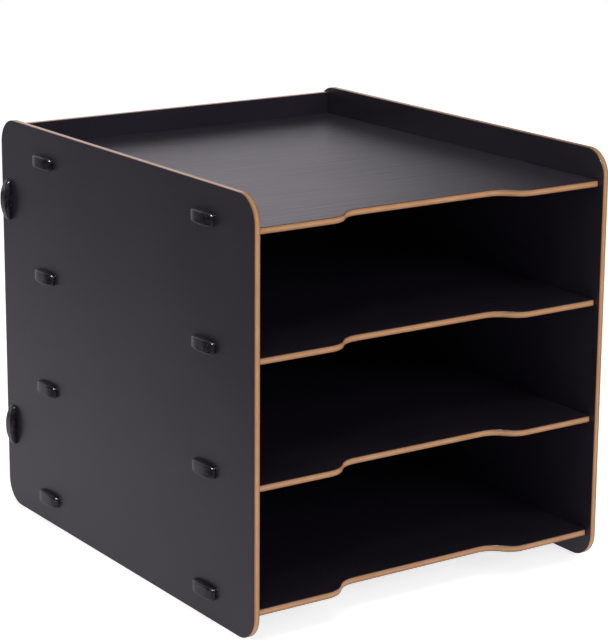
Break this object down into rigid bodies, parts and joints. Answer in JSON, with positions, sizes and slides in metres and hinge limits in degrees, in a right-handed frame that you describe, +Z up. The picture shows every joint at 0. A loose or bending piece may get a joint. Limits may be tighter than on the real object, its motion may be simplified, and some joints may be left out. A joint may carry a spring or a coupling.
{
  "type": "letter tray stack",
  "caption": "Desk letter tray stack: slotted black boards with open bays, an open top tray and finger cuts, joined by tabs through the side panels under rubber caps.",
  "frame": {"origin": "on the desk, midway between the side panels' outer faces and between their front and rear edges", "axes": "+X to the right seen from the open front, +Y from the front to the back, +Z up"},
  "size_m": [0.2806, 0.32, 0.276],
  "materials": {
    "board": "black satin foil on fibreboard, light brown cut edges",
    "cap": "moulded black rubber, slightly glossy"
  },
  "bodies": {
    "root": {"left_side_panel": "board", "right_side_panel": "board", "back_panel": "board", "bottom_shelf": "board", "lower_shelf": "board", "upper_shelf": "board", "top_shelf": "board", "left_bottom_shelf_front_cap": "cap", "left_bottom_shelf_rear_cap": "cap", "left_lower_shelf_front_cap": "cap", "left_lower_shelf_rear_cap": "cap", "left_upper_shelf_front_cap": "cap", "left_upper_shelf_rear_cap": "cap", "left_top_shelf_front_cap": "cap", "left_top_shelf_rear_cap": "cap", "left_back_panel_lower_cap": "cap", "left_back_panel_upper_cap": "cap", "right_bottom_shelf_front_cap": "cap", "right_bottom_shelf_rear_cap": "cap", "right_lower_shelf_front_cap": "cap", "right_lower_shelf_rear_cap": "cap", "right_upper_shelf_front_cap": "cap", "right_upper_shelf_rear_cap": "cap", "right_top_shelf_front_cap": "cap", "right_top_shelf_rear_cap": "cap", "right_back_panel_lower_cap": "cap", "right_back_panel_upper_cap": "cap"}
  },
  "joints": []
}
